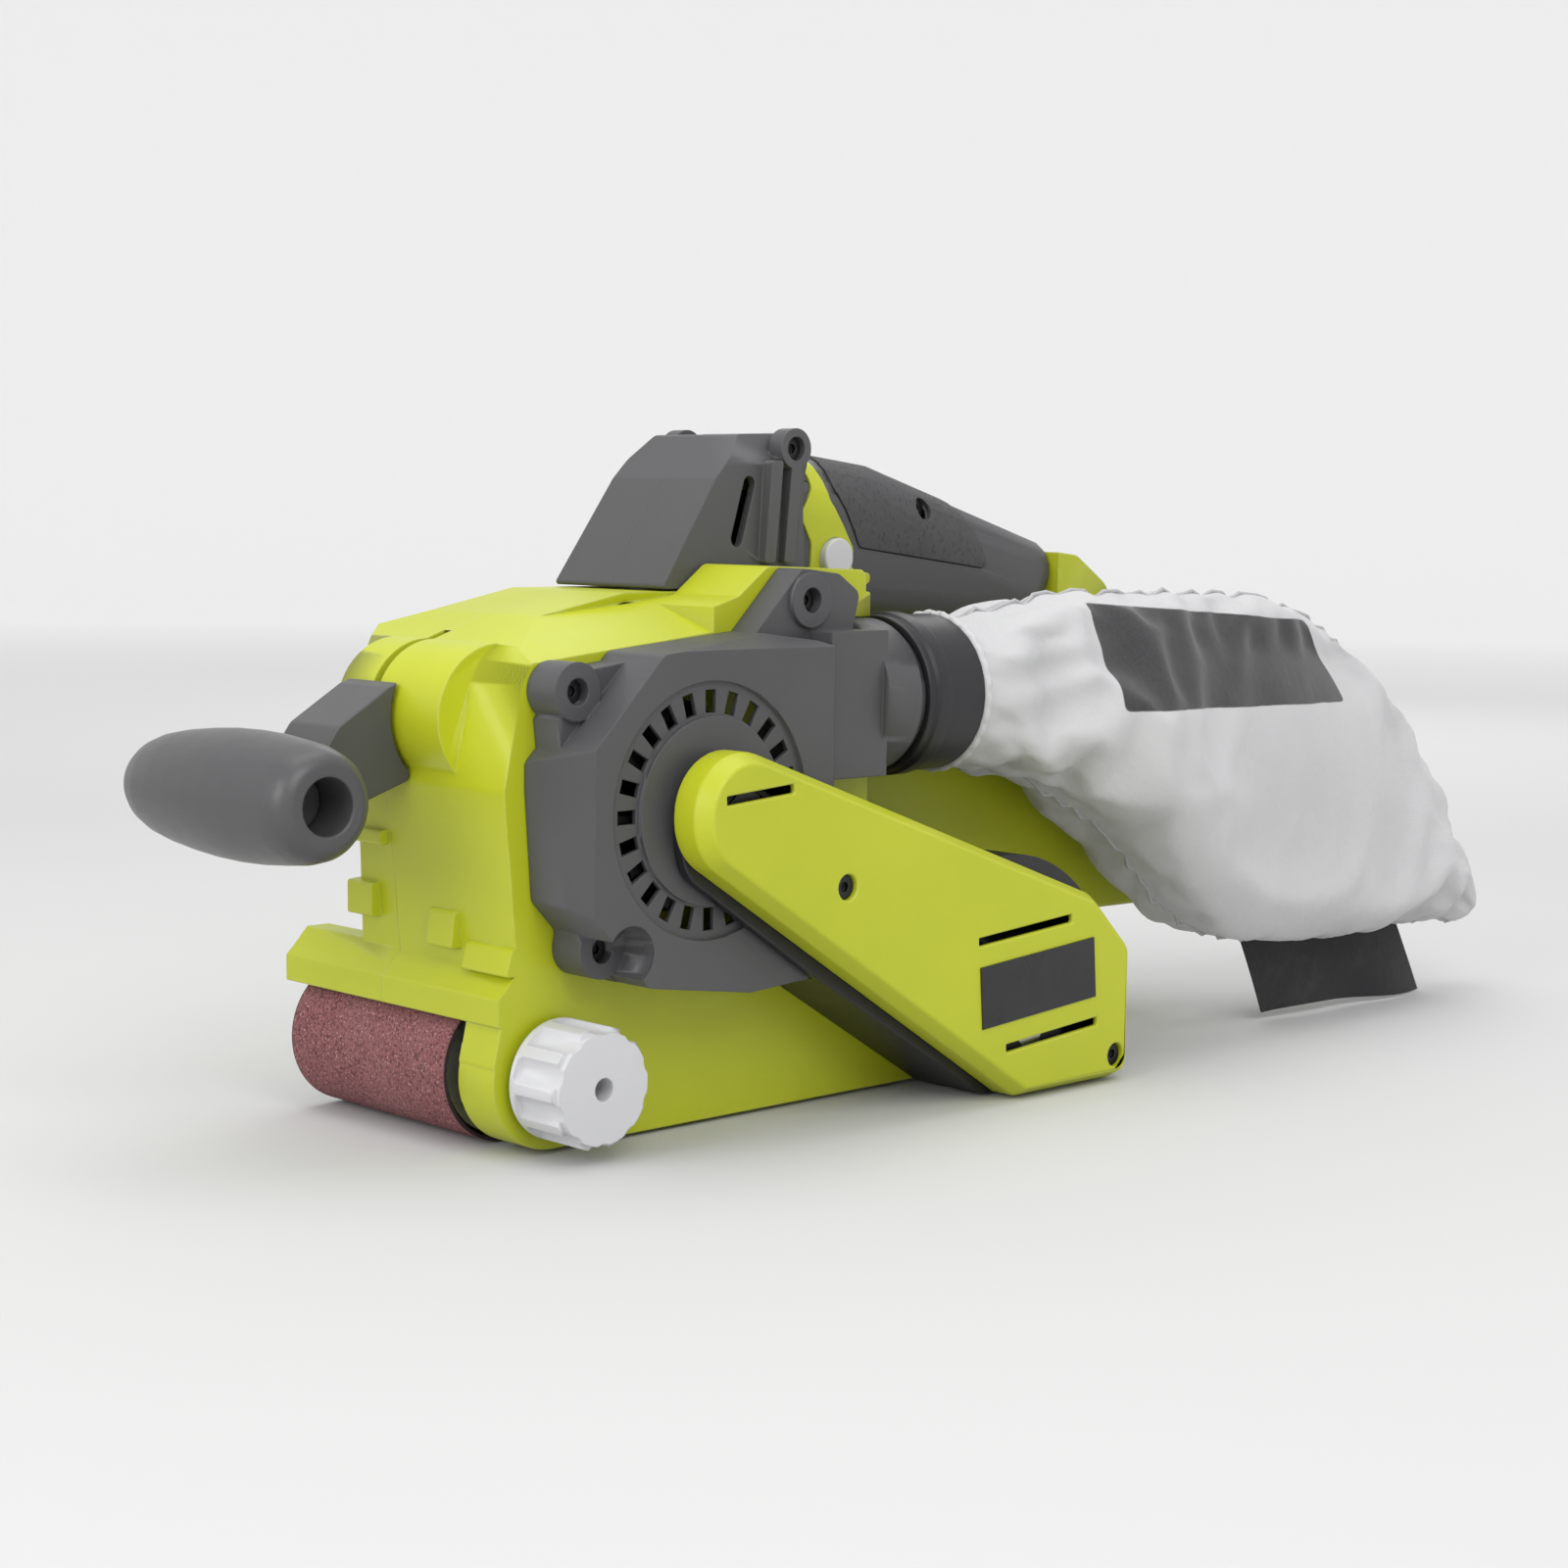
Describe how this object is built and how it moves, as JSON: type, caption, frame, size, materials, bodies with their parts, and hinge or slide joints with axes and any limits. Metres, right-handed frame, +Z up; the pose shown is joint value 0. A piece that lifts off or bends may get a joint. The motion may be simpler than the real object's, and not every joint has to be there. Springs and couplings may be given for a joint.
{
  "type": "handheld belt sander",
  "caption": "Cordless handheld belt sander with tilting front handle, belt-drive guard, tracking knob, tension lever and side-mounted dust bag.",
  "frame": {"origin": "centre of the sanding belt's flat underside, where it meets the work", "axes": "+X towards the battery end and the dust bag, -Y towards the drive cover, +Z up"},
  "size_m": [0.535, 0.1495, 0.2082],
  "materials": {
    "lime": "fine satin moulded plastic",
    "grey_plastic": "fine textured moulded plastic",
    "handle_plastic": "satin moulded plastic",
    "grip_rubber": "dimpled soft overmould",
    "black_plastic": "satin",
    "badge": "semi-gloss label",
    "screw_steel": "zinc plated",
    "frame_alloy": "cast and machined",
    "bearing_steel": "ground",
    "graphite": "graphite cloth",
    "abrasive": "coated abrasive grit",
    "drive_rubber": "moulded rubber",
    "windings": "enamelled windings on steel laminations",
    "rotor_steel": "ground",
    "fan_plastic": "moulded",
    "board": "potted circuit board",
    "pale_plastic": "moulded",
    "contacts": "plated",
    "knob_plastic": "satin pale grey",
    "button": "silver grey satin",
    "bag_fabric": "fine woven polyester",
    "tag_fabric": "woven label"
  },
  "bodies": {
    "housing": {"body_left": "lime", "body_right": "lime", "head_left": "grey_plastic", "head_right": "grey_plastic", "grip_left": "grip_rubber", "grip_right": "grip_rubber", "handle_trim_left": "lime", "handle_trim_right": "lime", "motor_cover": "grey_plastic", "drive_guard": "black_plastic", "drive_cover": "lime", "cover_badge": "badge", "body_screws": "screw_steel", "head_screws": "screw_steel", "cover_screws": "screw_steel", "drive_cover_screws": "screw_steel", "sanding_frame": "frame_alloy", "frame_screws": "screw_steel", "platen_plate": "bearing_steel", "platen_pad": "graphite", "sanding_belt": "abrasive", "motor_stator": "windings", "motor_bearings": "bearing_steel", "drive_belt": "drive_rubber", "drive_bearings": "bearing_steel", "tension_spring": "bearing_steel", "lever_pin": "bearing_steel", "control_board": "board", "wire_block": "pale_plastic", "switch_module": "black_plastic", "trigger_pin": "bearing_steel", "trigger_spring": "bearing_steel", "battery_socket": "black_plastic", "battery_terminals": "contacts", "grip_bolt": "screw_steel", "grip_nut": "screw_steel"},
    "rotor": {"motor_rotor": "rotor_steel", "motor_shaft": "bearing_steel", "motor_fan": "fan_plastic", "motor_pulley": "black_plastic"},
    "drive_roller": {"drive_roller": "frame_alloy", "drive_sleeve": "drive_rubber", "drive_shaft": "bearing_steel", "driven_pulley": "black_plastic"},
    "carriage": {"roller_carriage": "bearing_steel"},
    "axle": {"front_axle": "bearing_steel"},
    "front_roller": {"front_roller": "frame_alloy", "front_bearings": "bearing_steel"},
    "tracking_knob": {"tracking_knob": "knob_plastic", "tracking_shaft": "bearing_steel"},
    "tension_lever": {"tension_lever": "black_plastic"},
    "trigger": {"trigger": "black_plastic"},
    "lock_button": {"lock_button": "button"},
    "front_handle": {"front_grip": "handle_plastic", "grip_bracket": "handle_plastic"},
    "dust_bag": {"bag_collar": "black_plastic", "dust_bag": "bag_fabric", "bag_tag": "tag_fabric"}
  },
  "joints": [
    {"name": "drive_roller_spin", "type": "hinge", "parent": "housing", "child": "drive_roller", "pos_m": [0.08048, 0, 0.022], "axis": [0, 1, 0], "continuous": true},
    {"name": "motor_spin", "type": "hinge", "parent": "housing", "child": "rotor", "pos_m": [-0.0425, 0, 0.0975], "axis": [0, 1, 0], "continuous": true},
    {"name": "tension_slide", "type": "slide", "parent": "housing", "child": "carriage", "axis": [1, 0, 0], "range_m": [0, 0.006], "deforming": ["tension_spring"]},
    {"name": "tension_lever_swing", "type": "hinge", "parent": "housing", "child": "tension_lever", "pos_m": [-0.021, 0.042, 0.022], "axis": [0, 0, 1], "range_deg": [0, 100]},
    {"name": "axle_tilt", "type": "hinge", "parent": "carriage", "child": "axle", "pos_m": [-0.08048, 0.0385, 0.022], "axis": [0, 0, 1], "range_deg": [-0.6, 0.6]},
    {"name": "front_roller_spin", "type": "hinge", "parent": "axle", "child": "front_roller", "pos_m": [-0.08048, 0, 0.022], "axis": [0, 1, 0], "continuous": true},
    {"name": "tracking_knob_turn", "type": "hinge", "parent": "carriage", "child": "tracking_knob", "pos_m": [-0.08048, -0.07, 0.022], "axis": [0, -1, 0], "range_deg": [-90, 90]},
    {"name": "trigger_pull", "type": "hinge", "parent": "housing", "child": "trigger", "pos_m": [0.068, -0.004, 0.155], "axis": [0, -1, 0], "range_deg": [0, 8], "stiffness_Nm_per_rad": 0.6, "springref_deg": -2.86, "deforming": ["trigger_spring"]},
    {"name": "lock_button_push", "type": "slide", "parent": "housing", "child": "lock_button", "axis": [0, 1, 0], "range_m": [0, 0.003], "stiffness_N_per_m": 300, "springref_m": -0.001},
    {"name": "front_handle_tilt", "type": "hinge", "parent": "housing", "child": "front_handle", "pos_m": [-0.0818, -0.004, 0.1224], "axis": [0, 1, 0], "range_deg": [0, 70]},
    {"name": "dust_bag_pull", "type": "slide", "parent": "housing", "child": "dust_bag", "axis": [1, 0, 0], "range_m": [0, 0.06]}
  ],
  "couplings": [
    {"joint": "motor_spin", "follows": "drive_roller_spin", "ratio": 1.9259},
    {"joint": "front_roller_spin", "follows": "drive_roller_spin", "ratio": 1},
    {"joint": "tension_slide", "follows": "tension_lever_swing", "m_per_rad": 0.0034377},
    {"joint": "axle_tilt", "follows": "tracking_knob_turn", "ratio": 0.0066667}
  ]
}
